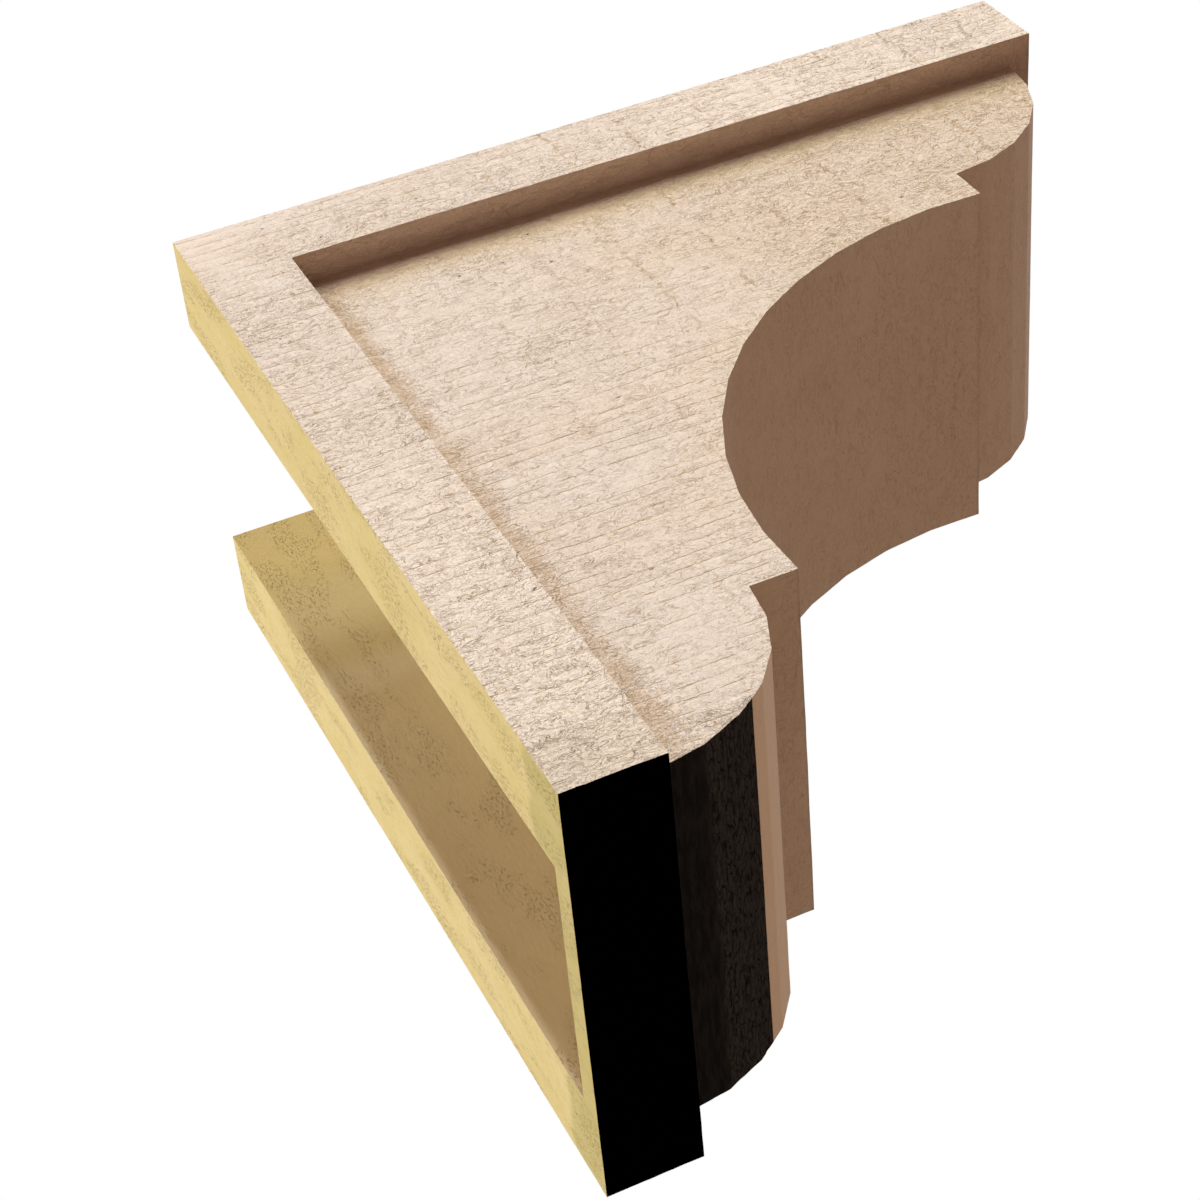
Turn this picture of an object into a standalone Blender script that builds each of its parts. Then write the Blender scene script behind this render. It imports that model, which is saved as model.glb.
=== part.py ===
# Wall corbel, moulded in one piece to look like rough-sawn timber.
#
# The outline has two equal arms: a back plate against the wall and a top plate
# under the shelf. Each arm ends in a rounded nose, and a deep cove joins the two
# noses. The side panels lie back from the edges of the plates. The block is
# hollow, open at the back and at the top.
#
# Frame in metres: +X is the width, +Z is up, and the wall is the plane y = 0.
# The corbel stands out towards -Y. The origin is at the middle of the narrow
# strip of the back that closes the hollow at its foot.
#
# A point of an outline is (out, down): out from the wall, down from the top.

import math

import bmesh
import bpy
from mathutils import Matrix

# Overall size, 12 x 12 x 6 inches
arm_length = 0.3048
width = 0.1524

# Outline, the same on both arms
plate_thickness = 0.0305
nose_radius = 0.0533
nose_setback = 0.0076
step_height = 0.0152
cove_corner = 0.1372
nose_facets = 6
cove_facets = 12

# Sides and walls
panel_recess = 0.0108
side_wall = 0.0326
end_wall = 0.0090
front_wall = side_wall - panel_recess

# How deep the block is sunk in the plates, and how far the hollow's cutter runs past its open faces
sunk_depth = plate_thickness / 2
cutter_overrun = 0.010

finish_colour = (0.80, 0.68, 0.55, 1.0)
finish_roughness = 0.85

quarter_turn = math.pi / 2
nose_tip_out = arm_length - nose_setback
nose_centre_out = nose_tip_out - nose_radius
top_height = arm_length - end_wall / 2

# The cove is an arc through the feet of the two steps and a deepest point that lies
# cove_corner from the wall and from the top, so its centre is on the diagonal.
step_foot_down = plate_thickness + nose_radius + step_height
half_chord = (nose_centre_out - step_foot_down) / math.sqrt(2)
cove_depth = (nose_centre_out + step_foot_down - 2 * cove_corner) / math.sqrt(2)
cove_radius = (half_chord ** 2 + cove_depth ** 2) / (2 * cove_depth)
cove_centre = cove_corner + cove_radius / math.sqrt(2)


def clear_scene():
    """Remove whatever objects the open file holds."""
    for old in list(bpy.data.objects):
        bpy.data.objects.remove(old, do_unlink=True)


def new_collection(name):
    """A collection linked to the scene."""
    collection = bpy.data.collections.new(name)
    bpy.context.scene.collection.children.link(collection)
    return collection


def arc(centre, radius, start, end, facets):
    """Points along an arc from angle start to angle end, both included."""
    points = []
    for i in range(facets + 1):
        angle = start + (end - start) * i / facets
        out = centre[0] + radius * math.cos(angle)
        down = centre[1] + radius * math.sin(angle)
        points.append((out, down))
    return points


def mirrored(points):
    """The points of one arm as points of the other, in the opposite order."""
    return [(down, out) for out, down in reversed(points)]


def front_line(inset):
    """Nose, step, cove, step and nose as one line, drawn this far inside the surface."""
    nose = arc((nose_centre_out, plate_thickness), nose_radius - inset, 0.0, quarter_turn, nose_facets)
    step_out = nose_centre_out - inset
    if inset > 0:
        nose.append((step_out, plate_thickness + nose_radius - inset))
    radius = cove_radius + inset
    start = -math.acos((step_out - cove_centre) / radius)
    end = -3 * quarter_turn - start
    cove = arc((cove_centre, cove_centre), radius, start, end, cove_facets)
    return nose + cove + mirrored(nose)


def plates_outline():
    """Back plate and top plate, one L."""
    return [
        (0.0, 0.0),
        (arm_length, 0.0),
        (arm_length, plate_thickness),
        (plate_thickness, plate_thickness),
        (plate_thickness, arm_length),
        (0.0, arm_length),
    ]


def block_outline():
    """The shaped block between the side panels, sunk into both plates."""
    corner = [(sunk_depth, sunk_depth)]
    top_side = [(nose_tip_out, sunk_depth)]
    return corner + top_side + front_line(0.0) + mirrored(top_side)


def hollow_outline():
    """The hollow follows the front, and its ends stop at the thin end walls."""
    ledge_down = plate_thickness - front_wall
    end_out = arm_length - end_wall
    top_side = [
        (end_out, -cutter_overrun),
        (end_out, ledge_down),
        (nose_tip_out - front_wall, ledge_down),
    ]
    corner = [(-cutter_overrun, -cutter_overrun)]
    return corner + top_side + front_line(front_wall) + mirrored(top_side)


def slab(name, outline, thickness, collection):
    """A closed slab of this outline, its thickness centred on x = 0."""
    curve = bpy.data.curves.new(name, "CURVE")
    curve.dimensions = "2D"
    curve.fill_mode = "BOTH"
    curve.extrude = thickness / 2
    spline = curve.splines.new("POLY")
    spline.points.add(len(outline) - 1)
    for point, (out, down) in zip(spline.points, outline):
        point.co = (out, down, 0.0, 1.0)
    spline.use_cyclic_u = True

    flat = bpy.data.objects.new(name + "_outline", curve)
    collection.objects.link(flat)
    # The curve's own axes are out, down and across
    across, wall, up = (0, 0, 1, 0), (-1, 0, 0, 0), (0, -1, 0, top_height)
    flat.matrix_world = Matrix((across, wall, up, (0, 0, 0, 1)))
    bpy.context.view_layer.update()
    mesh = bpy.data.meshes.new_from_object(flat.evaluated_get(bpy.context.evaluated_depsgraph_get()))

    welded = bmesh.new()
    welded.from_mesh(mesh)
    bmesh.ops.remove_doubles(welded, verts=welded.verts, dist=0.00001)
    bmesh.ops.recalc_face_normals(welded, faces=welded.faces)
    welded.to_mesh(mesh)
    welded.free()

    solid = bpy.data.objects.new(name, mesh)
    collection.objects.link(solid)
    solid.matrix_world = flat.matrix_world.copy()
    bpy.data.objects.remove(flat, do_unlink=True)
    bpy.data.curves.remove(curve)
    return solid


def as_guide(solid):
    """Show a solid as a wire guide that isn't part of the corbel."""
    solid.hide_render = True
    solid.display_type = "WIRE"
    return solid


def combine(target, guide, operation):
    """Join the guide to the target, or cut it out."""
    boolean = target.modifiers.new(operation.lower() + "_" + guide.name, "BOOLEAN")
    boolean.operation = operation
    boolean.solver = "EXACT"
    boolean.object = guide


def finish_material():
    """Painted foam with the look of pale sawn timber."""
    material = bpy.data.materials.new("sawn_finish")
    material.use_nodes = True
    shader = material.node_tree.nodes["Principled BSDF"]
    shader.inputs["Base Color"].default_value = finish_colour
    shader.inputs["Roughness"].default_value = finish_roughness
    shader.inputs["Metallic"].default_value = 0.0
    return material


def main():
    clear_scene()
    parts = new_collection("corbel")
    guides = new_collection("corbel_guides")

    body = slab("corbel_body", plates_outline(), width, parts)
    block = slab("block_guide", block_outline(), width - 2 * panel_recess, guides)
    hollow = slab("hollow_cutter", hollow_outline(), width - 2 * side_wall, guides)

    combine(body, as_guide(block), "UNION")
    combine(body, as_guide(hollow), "DIFFERENCE")
    body.data.materials.append(finish_material())


main()
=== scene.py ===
# Looks of a wall corbel, moulded in one piece from foam to look like rough-sawn timber.
#
# Metres. The wall is the plane y = 0, the corbel stands out towards -Y, x is its width, +Z is up.
# A point of an outline is (out, down): out from the wall, down from the top.

import math

import bpy
import numpy as np
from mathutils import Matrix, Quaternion, Vector
from mathutils.geometry import delaunay_2d_cdt


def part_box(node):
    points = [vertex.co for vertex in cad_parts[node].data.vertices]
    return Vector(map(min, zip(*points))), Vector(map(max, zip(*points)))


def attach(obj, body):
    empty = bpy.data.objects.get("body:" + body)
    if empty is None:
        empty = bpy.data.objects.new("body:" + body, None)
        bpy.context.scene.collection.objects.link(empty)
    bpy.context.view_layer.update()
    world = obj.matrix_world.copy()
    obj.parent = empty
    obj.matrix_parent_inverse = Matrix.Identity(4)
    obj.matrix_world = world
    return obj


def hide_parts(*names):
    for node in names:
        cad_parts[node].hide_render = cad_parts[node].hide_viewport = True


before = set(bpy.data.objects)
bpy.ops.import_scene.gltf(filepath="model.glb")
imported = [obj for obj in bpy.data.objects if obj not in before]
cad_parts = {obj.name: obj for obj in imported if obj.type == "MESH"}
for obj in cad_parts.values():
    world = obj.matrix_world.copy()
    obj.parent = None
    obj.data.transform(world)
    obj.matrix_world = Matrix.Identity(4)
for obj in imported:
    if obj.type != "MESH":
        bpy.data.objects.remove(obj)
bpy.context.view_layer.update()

lowest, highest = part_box("corbel_body")
armLength = highest[2] - lowest[2]
halfWidth = (highest[0] - lowest[0]) / 2
topHeight = highest[2]
tiny = 1e-6  # lengths that differ by less than this are taken as equal


# Camera, at the photo's viewing angle: behind the corbel, to its left and below its foot, rolled

photoCamera = {
    "lens": 83.08,
    "sensor": 36.0,
    "place": (-0.5294, 0.1685, -0.4780),
    "aim": (0.0129, -0.0823, 0.1644),
    "rollDegrees": -38.201,
}


def addCamera():
    data = bpy.data.cameras.new("photo_camera")
    data.lens = photoCamera["lens"]
    data.sensor_width = photoCamera["sensor"]
    camera = bpy.data.objects.new("photo_camera", data)
    bpy.context.scene.collection.objects.link(camera)
    place = Vector(photoCamera["place"])
    looking = (Vector(photoCamera["aim"]) - place).to_track_quat("-Z", "Y")
    roll = Quaternion((0.0, 0.0, 1.0), math.radians(photoCamera["rollDegrees"]))
    camera.location = place
    camera.rotation_mode = "QUATERNION"
    camera.rotation_quaternion = looking @ roll
    bpy.context.scene.camera = camera


# Short ways to put nodes in a tree

def addNode(tree, kind, inputs=None, **settings):
    # Settings come first, because some of them change which sockets the node has
    made = tree.nodes.new("ShaderNode" + kind)
    for key, value in settings.items():
        setattr(made, key, value)
    for key, value in (inputs or {}).items():
        if isinstance(value, bpy.types.NodeSocket):
            tree.links.new(value, made.inputs[key])
        else:
            made.inputs[key].default_value = value
    return made


def calc(tree, operation, first, second=0.5, third=0.5):
    inputs = {0: first, 1: second, 2: third}
    return addNode(tree, "Math", inputs, operation=operation).outputs[0]


def product(tree, *values):
    total = values[0]
    for value in values[1:]:
        total = calc(tree, "MULTIPLY", total, value)
    return total


def weighted(tree, *pairs):
    # The sum of values times their weights
    total = calc(tree, "MULTIPLY", *pairs[0])
    for value, weight in pairs[1:]:
        total = calc(tree, "MULTIPLY_ADD", value, weight, total)
    return total


def opposite(tree, value):
    # 1 less the value
    return calc(tree, "SUBTRACT", 1.0, value)


def ramp(tree, value, low, high, toLow=0.0, toHigh=1.0):
    # A smooth rise from toLow to toHigh while the value goes from low to high
    inputs = {"Value": value, "From Min": low, "From Max": high, "To Min": toLow, "To Max": toHigh}
    return addNode(tree, "MapRange", inputs, interpolation_type="SMOOTHSTEP").outputs["Result"]


def near(tree, value, middle, reach):
    # 1 where the value is at the middle, falling smoothly to 0 at the reach on both sides
    away = calc(tree, "ABSOLUTE", calc(tree, "SUBTRACT", value, middle))
    return ramp(tree, away, 0.0, reach, 1.0, 0.0)


def mixed(tree, amount, first, second, blend="MIX"):
    inputs = {0: amount, 6: first, 7: second}
    return addNode(tree, "Mix", inputs, data_type="RGBA", blend_type=blend).outputs[2]


def stretched(tree, coords, scales):
    # Coordinates that count scales[0] features to the metre along the grain and scales[1] across it
    inputs = {0: coords, 1: (*scales, 1.0)}
    return addNode(tree, "VectorMath", inputs, operation="MULTIPLY").outputs[0]


def noise(tree, coords, scales, detail=3.0, roughness=0.5, distortion=0.0):
    inputs = {"Vector": stretched(tree, coords, scales), "Scale": 1.0, "Detail": detail,
              "Roughness": roughness, "Distortion": distortion}
    return addNode(tree, "TexNoise", inputs, noise_dimensions="2D").outputs["Fac"]


# Studio: a pale floor, soft lights from the left and the back, a warm dim room, a white backdrop

studio = {
    "middle": (0.0, -0.12, 0.15),
    "floorHeight": -1.30,
    "floorSide": 9.0,
    "floorColour": (0.73, 0.713, 0.687, 1.0),
    "floorRoughness": 0.9,
    "floorGlow": 0.52,  # keeps it pale where the lamps don't reach
    "roomColour": (1.0, 0.65, 0.463, 1.0),
    "roomStrength": 0.31,
    "backdropColour": (1.0, 1.0, 1.0, 1.0),
    "backdropStrength": 1.0,
    # name, direction from the corbel, distance, breadth, height, power in watts, colour,
    # and whether it is seen only in gloss
    "lamps": (
        ("key_left", (-1.0, 0.0, 0.70), 6.0, 0.53, 3.5, 416.0, (0.95, 0.97, 1.0), False),
        ("back_fill", (0.35, 1.0, 0.22), 2.6, 1.0, 1.2, 56.3, (1.0, 0.97, 0.93), False),
        ("top_fill", (0.10, 0.10, 1.0), 2.2, 1.2, 1.2, 11.5, (1.0, 0.97, 0.94), False),
        ("right_fill", (1.0, 0.0, 0.60), 2.4, 0.7, 2.0, 28.7, (1.0, 0.97, 0.94), False),
        ("gloss_card", (0.53, -0.585, 0.638), 1.8, 1.4, 1.4, 20.7, (1.0, 0.93, 0.90), True),
    ),
}


def addFloor():
    half = studio["floorSide"] / 2
    corners = [(-half, -half), (half, -half), (half, half), (-half, half)]
    mesh = bpy.data.meshes.new("studio_floor")
    mesh.from_pydata([(x, y, studio["floorHeight"]) for x, y in corners], [], [(0, 1, 2, 3)])
    floor = bpy.data.objects.new("studio_floor", mesh)
    bpy.context.scene.collection.objects.link(floor)
    floor.visible_diffuse = False  # it throws no light back up at the corbel
    floor.visible_glossy = False
    pale = bpy.data.materials.new("pale_floor")
    pale.use_nodes = True
    shader = pale.node_tree.nodes["Principled BSDF"]
    shader.inputs["Base Color"].default_value = studio["floorColour"]
    shader.inputs["Roughness"].default_value = studio["floorRoughness"]
    shader.inputs["Emission Color"].default_value = studio["floorColour"]
    shader.inputs["Emission Strength"].default_value = studio["floorGlow"]
    mesh.materials.append(pale)


def addLamp(name, direction, distance, breadth, height, power, colour, onlyGloss):
    data = bpy.data.lights.new(name, "AREA")
    data.shape = "RECTANGLE"
    data.size = breadth
    data.size_y = height
    data.energy = power
    data.color = colour
    lamp = bpy.data.objects.new(name, data)
    bpy.context.scene.collection.objects.link(lamp)
    away = Vector(direction).normalized()
    lamp.location = Vector(studio["middle"]) + away * distance
    lamp.rotation_mode = "QUATERNION"
    lamp.rotation_quaternion = away.to_track_quat("Z", "Y")
    lamp.visible_camera = False
    lamp.visible_diffuse = not onlyGloss


def addRoom():
    # The room lights the shaded faces warmly, and what the camera sees behind the corbel is white
    world = bpy.data.worlds.new("warm_room")
    world.use_nodes = True
    tree = world.node_tree
    tree.nodes.clear()
    room = {"Color": studio["roomColour"], "Strength": studio["roomStrength"]}
    backdrop = {"Color": studio["backdropColour"], "Strength": studio["backdropStrength"]}
    lit = addNode(tree, "Background", room).outputs[0]
    white = addNode(tree, "Background", backdrop).outputs[0]
    seen = addNode(tree, "LightPath").outputs["Is Camera Ray"]
    both = addNode(tree, "MixShader", {0: seen, 1: lit, 2: white})
    addNode(tree, "OutputWorld", {"Surface": both.outputs[0]})
    bpy.context.scene.world = world
    bpy.context.scene.view_settings.view_transform = "Standard"


def addStudio():
    addFloor()
    for lamp in studio["lamps"]:
        addLamp(*lamp)
    addRoom()


# Outline

corbel = {
    "plateThickness": 0.0305,
    "noseRadius": 0.0533,
    "noseSetback": 0.0076,
    "stepHeight": 0.0152,
    "coveCorner": 0.1372,  # deepest point of the cove, from the wall and from the top
    "noseFacets": 6,
    "coveFacets": 12,
    "panelRecess": 0.0108,
    "sideWall": 0.0326,
    "endWall": 0.0090,
    "shadedFacets": 2.5,  # of the lower nose, from the foot, under the black painted shade
}
plate = corbel["plateThickness"]
noseTip = armLength - corbel["noseSetback"]
noseCentre = noseTip - corbel["noseRadius"]
frontWall = corbel["sideWall"] - corbel["panelRecess"]
panelX = halfWidth - corbel["panelRecess"]
hollowX = halfWidth - corbel["sideWall"]
hollowEnd = armLength - corbel["endWall"]
stepFoot = plate + corbel["noseRadius"] + corbel["stepHeight"]
noseFacet = 2 * corbel["noseRadius"] * math.sin(math.pi / 4 / corbel["noseFacets"])
# How far the black painted shade reaches along the front line, from the foot
shadeReach = noseFacet * corbel["shadedFacets"]


def arcPoints(centre, radius, start, end, facets):
    # centre + radius * (cos, sin) at even angles from start to end
    angle = np.linspace(start, end, facets + 1)
    return np.stack([centre[0] + radius * np.cos(angle), centre[1] + radius * np.sin(angle)], axis=1)


def mirrored(points):
    # The other arm has the same outline with out and down changed about, in the opposite order
    return points[::-1, ::-1]


def frontLine(inset):
    # Nose, step, cove, step and nose, this far inside the surface. The cove's circle passes through
    # the feet of both steps and through its deepest point, and its centre is on the diagonal, about
    # which its two ends are mirror images.
    radius = corbel["noseRadius"] - inset
    nose = arcPoints((noseCentre, plate), radius, 0.0, math.pi / 2, corbel["noseFacets"])
    if inset > 0:
        nose = np.concatenate([nose, [(noseCentre - inset, plate + corbel["noseRadius"] - inset)]])
    halfChord = (noseCentre - stepFoot) / math.sqrt(2)
    depth = (noseCentre + stepFoot - 2 * corbel["coveCorner"]) / math.sqrt(2)
    coveRadius = (halfChord ** 2 + depth ** 2) / (2 * depth)
    coveCentre = corbel["coveCorner"] + coveRadius / math.sqrt(2)
    start = -math.acos((noseCentre - inset - coveCentre) / (coveRadius + inset))
    end = -1.5 * math.pi - start
    cove = arcPoints((coveCentre, coveCentre), coveRadius + inset, start, end, corbel["coveFacets"])
    return np.concatenate([nose, cove, mirrored(nose)])


def withoutRepeats(points):
    keep = np.r_[True, np.linalg.norm(np.diff(points, axis=0), axis=1) > tiny]
    return points[keep]


def hollowOutline(inner):
    # Past the end wall and the ledge above the nose, along the inner front line, and so out again
    ledge = plate - frontWall
    start = np.array([(hollowEnd, 0), (hollowEnd, ledge), (noseTip - frontWall, ledge)])
    return np.concatenate([start, inner, mirrored(start)])


# Surfaces. Every patch takes the points of its edges from the same rule, so that neighbours meet.

meshing = {
    # longest steps along x, out and down: long along the grain, short across the saw marks
    "fineStep": (0.0026, 0.0020, 0.00100),
    "coarseStep": (0.0060, 0.0060, 0.0060),
    "weldGrid": 1.3e-6,
    # in steps
    "clearOfEdge": 0.6,
    "firstColumn": 0.25,
    "joinWithin": 1e-7,
}

# Where each patch starts on the map of the grain, in metres, so that no two show the same stretch
grainStart = {
    "left": 0.0,
    "right": 0.7,
    "panel": 0.35,  # further on than the plates of its side
    "front": 1.4,
    "hollow": 2.1,
    "back": 2.8,
    "top": 3.5,
}

xAxis, outAxis, downAxis = 0, 1, 2  # places in a point (x, out, down)
grainAlongX, grainAlongLine = (0, 1), (1, 0)  # on a patch that is a line carried along x

patches = []


def stepFor(first, second):
    # The hollow is coarse, and every edge on the outside is fine
    inHollow = max(abs(first[0]), abs(second[0])) < hollowX + tiny
    return np.array(meshing["coarseStep" if inHollow else "fineStep"])


def divided(corners):
    # Each straight run between two corners (x, out, down) in a whole number of even steps
    runs = []
    for first, second in zip(corners[:-1], corners[1:]):
        steps = np.linalg.norm((second - first) / stepFor(first, second))
        count = max(1, math.ceil(steps - tiny))
        share = np.arange(count)[:, None] / count
        runs.append(first + (second - first) * share)
    runs.append(corners[-1:])
    return np.concatenate(runs)


def atX(x, line):
    # The points (out, down) of a line, all at one x
    return np.column_stack([np.full(len(line), x), line])


def inWorld(points):
    # (x, out, down) to the part's frame
    return np.stack([points[:, 0], -points[:, 1], topHeight - points[:, 2]], axis=1)


def addPatch(points, faces, normals, region, finish, grain):
    # Keep a patch, with its faces turned so that they look the way of the normals
    world = inWorld(points)
    a, b, c = (world[faces[:, i]] for i in range(3))
    facing = np.einsum("ij,ij->i", np.cross(b - a, c - a), normals[faces[:, 0]])
    faces = faces[:, ::-1] if facing.sum() < 0 else faces
    patches.append({"points": world, "faces": faces, "normals": normals, "grain": grain,
                    "region": region, "finish": np.full(len(faces), finish)})


def inside(points, outline):
    # Even and odd crossings of a line from each point towards higher values of the first number
    a, b = outline, np.roll(outline, -1, axis=0)
    p, q = points[:, :1], points[:, 1:]
    spans = (a[:, 1] > q) != (b[:, 1] > q)
    slope = (b[:, 0] - a[:, 0]) / np.where(a[:, 1] == b[:, 1], 1.0, b[:, 1] - a[:, 1])
    return (spans & (p < a[:, 0] + (q - a[:, 1]) * slope)).sum(axis=1) % 2 == 1


def awayFromEdge(points, outline):
    # Distance of each point to the nearest stretch of the outline
    nearest = np.full(len(points), np.inf)
    for a, b in zip(outline, np.roll(outline, -1, axis=0)):
        run = b - a
        share = np.clip(((points - a) @ run) / (run @ run), 0.0, 1.0)
        nearest = np.minimum(nearest, np.linalg.norm(points - a - share[:, None] * run, axis=1))
    return nearest


def staggeredGrid(outline):
    # Points inside an outline, a step apart, each row half a step along from the one before, so that
    # the triangles between them have even sides
    low, high = outline.min(axis=0), outline.max(axis=0)
    rowHeight = math.sqrt(3) / 2
    rows = np.arange(low[1] + rowHeight / 2, high[1], rowHeight)
    columns = np.arange(low[0] + meshing["firstColumn"], high[0], 1.0)
    across, up = np.meshgrid(columns, rows)
    across = across + np.where(np.arange(len(rows)) % 2 == 0, 0.0, 0.5)[:, None]
    grid = np.stack([across.ravel(), up.ravel()], axis=1)
    grid = grid[inside(grid, outline)]
    return grid[awayFromEdge(grid, outline) > meshing["clearOfEdge"]]


def addFlatPatch(corners, axes, normal, region, finish, grainAxes, start):
    # A flat outline of corners (x, out, down) on two of these axes, filled with a staggered grid.
    # Grid and edge are joined in numbers of steps, where the triangles come out even.
    closed = np.concatenate([corners, corners[:1]])
    edge = divided(closed)[:-1]
    fine = np.abs(corners[:, 0]).max() > hollowX + tiny and finish != "bare_foam"
    step = np.array(meshing["fineStep" if fine else "coarseStep"])[list(axes)]
    grid = staggeredGrid(corners[:, axes] / step)

    flat = np.concatenate([edge[:, axes] / step, grid])
    ring = np.arange(len(edge))
    links = np.stack([ring, np.roll(ring, -1)], axis=1)
    made = delaunay_2d_cdt(flat.tolist(), links.tolist(), [], 1, meshing["joinWithin"])
    if len(made[0]) != len(flat):
        raise ValueError("points of a flat patch fell together")
    points = np.tile(corners[0], (len(flat), 1))
    points[:, axes] = flat * step
    points[:len(edge)] = edge
    normals = np.tile(np.array(normal, float), (len(points), 1))
    addPatch(points, np.array(made[2]), normals, region, finish, points[:, grainAxes] + (start, 0.0))


def addSweptPatch(corners, xCorners, region, finish, grainOrder, start, flipped=False):
    # A line of corners (out, down) carried along x: the surface is (x, line(s)).
    # Its normals are the runs' own, and between two runs the one that keeps both at an even depth.
    xs = divided(np.column_stack([xCorners, np.zeros((len(xCorners), 2))]))[:, 0]
    line = divided(atX(xCorners[-1], corners))[:, 1:]
    run = np.diff(line, axis=0)
    length = np.linalg.norm(run, axis=1)
    side = np.stack([-run[:, 1], run[:, 0]], axis=1) / length[:, None]
    before, after = np.concatenate([side[:1], side]), np.concatenate([side, side[-1:]])
    both = (before + after) / (1 + np.einsum("ij,ij->i", before, after))[:, None]
    both = both if flipped else -both
    s = np.r_[0.0, np.cumsum(length)]

    rows, columns = len(line), len(xs)
    points = np.column_stack([np.tile(xs, rows), np.repeat(line, columns, axis=0)])
    normals = np.column_stack([np.zeros(rows * columns), np.repeat(both, columns, axis=0)])
    corner = (np.arange(rows - 1)[:, None] * columns + np.arange(columns - 1)).ravel()
    faces = np.concatenate([
        np.stack([corner, corner + 1, corner + columns + 1], axis=1),
        np.stack([corner, corner + columns + 1, corner + columns], axis=1),
    ])
    grain = np.column_stack([points[:, 0], np.repeat(s, columns)])[:, grainOrder] + (start, 0.0)
    addPatch(points, faces, normals, region, finish, grain)


def addSides(outer, hollow):
    # On each side: the plates, the panel, the hollow's wall, and the plates' edges beside the panel
    plates = np.array([(0, 0), (armLength, 0), (armLength, plate), (noseTip, plate), (plate, plate),
                       (plate, noseTip), (plate, armLength), (0, armLength)], float)
    panel = np.concatenate([[(plate, plate)], outer])
    hollowSide = np.concatenate([[(0, 0)], hollow])
    under = np.array([(plate, plate), (noseTip, plate)])
    axes, turned = (outAxis, downAxis), (downAxis, outAxis)
    for sign, start in ((-1, grainStart["left"]), (1, grainStart["right"])):
        normal, inwards = (sign, 0, 0), (-sign, 0, 0)
        onPanel = start + grainStart["panel"]
        addFlatPatch(atX(sign * halfWidth, plates), axes, normal, "plate", "sawn_skin", axes, start)
        addFlatPatch(atX(sign * panelX, panel), axes, normal, "panel", "sawn_skin", axes, onPanel)
        addFlatPatch(atX(sign * hollowX, hollowSide), axes, inwards, "hollow", "bare_foam", turned,
                     start)
        strip = np.array(sorted((sign * panelX, sign * halfWidth)))
        addSweptPatch(under, strip, "strip", "sawn_skin", grainAlongLine, start)
        addSweptPatch(mirrored(under), strip, "strip", "sawn_skin", grainAlongX, start)


def addFront(outer, hollow):
    # Down the front: the end of the top plate, the front line, and the end and the foot of the back
    # plate. Black painted shade covers the foot, and the last stretch of the front line on the lower
    # nose.
    full = np.array([-halfWidth, -panelX, panelX, halfWidth])
    end = np.array([(armLength, 0), (armLength, plate), (noseTip, plate)])
    start = grainStart["front"]
    addSweptPatch(end, full, "edge", "sawn_skin", grainAlongX, start, flipped=True)
    addSweptPatch(outer, full[1:3], "front", "sawn_skin", grainAlongX, start, flipped=True)
    front = patches[-1]
    reach = front["grain"][:, 1].max() - front["grain"][:, 1]
    front["finish"][reach[front["faces"]].min(axis=1) < shadeReach - frontSkin["shadeSlack"]] = "dark_coat"
    addSweptPatch(mirrored(end)[:2], full, "edge", "sawn_skin", grainAlongX, start, flipped=True)
    addSweptPatch(mirrored(end)[1:], full, "foot", "dark_coat", grainAlongX, start, flipped=True)
    across = np.array([-hollowX, hollowX])
    addSweptPatch(hollow, across, "hollow", "bare_foam", grainAlongLine, grainStart["hollow"])


def addBackAndTop():
    # Each has two strips beside the opening of the hollow and a narrow one across its end
    opening = np.array([
        (-halfWidth, 0), (-hollowX, 0), (-hollowX, hollowEnd), (hollowX, hollowEnd), (hollowX, 0),
        (halfWidth, 0), (halfWidth, armLength), (panelX, armLength), (-panelX, armLength),
        (-halfWidth, armLength),
    ], float)
    flush = np.zeros(len(opening))
    back = np.column_stack([opening[:, 0], flush, opening[:, 1]])
    top = np.column_stack([opening, flush])
    addFlatPatch(back, (xAxis, downAxis), (0, 1, 0), "foam", "bare_foam", (downAxis, xAxis),
                 grainStart["back"])
    addFlatPatch(top, (xAxis, outAxis), (0, 0, 1), "foam", "bare_foam", (outAxis, xAxis),
                 grainStart["top"])


def buildPatches():
    outer = withoutRepeats(frontLine(0.0))
    hollow = hollowOutline(withoutRepeats(frontLine(frontWall)))
    addSides(outer, hollow)
    addFront(outer, hollow)
    addBackAndTop()


# Relief: value noise and what is built from it. A number added to a coordinate of a noise only
# picks another place in it.

noiseSize = 256
noiseTable = np.random.default_rng(41).random((noiseSize, noiseSize))

reliefNoise = {
    # length of a feature along the grain and across it
    "wander": (0.060, 0.020),
    "jitter": (0.009, 0.006),
    "push": (0.011, 0.008),
    "crumple": (0.0050, 0.0028),
    "patches": (0.050, 0.035),
    "wave": (0.045, 0.030),
    "foam": (0.030, 0.012),
    "streaks": (0.016, 0.0030),
    # the ragged edge and the patches of the painted shade beside the back plate
    "paintedShadeEdge": (0.008, 0.008),
    "paintedShadeAndPale": (0.009, 0.006),
    "bandEdge": (0.020, 0.020),
}


def valueNoise(along, across):
    # Random numbers at whole coordinates, blended between them with a smooth step
    i, j = np.floor(along).astype(int), np.floor(across).astype(int)
    f, g = along - i, across - j
    f, g = f * f * (3 - 2 * f), g * g * (3 - 2 * g)
    i0, i1, j0, j1 = i % noiseSize, (i + 1) % noiseSize, j % noiseSize, (j + 1) % noiseSize
    low = noiseTable[i0, j0] * (1 - f) + noiseTable[i1, j0] * f
    high = noiseTable[i0, j1] * (1 - f) + noiseTable[i1, j1] * f
    return low * (1 - g) + high * g


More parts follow.
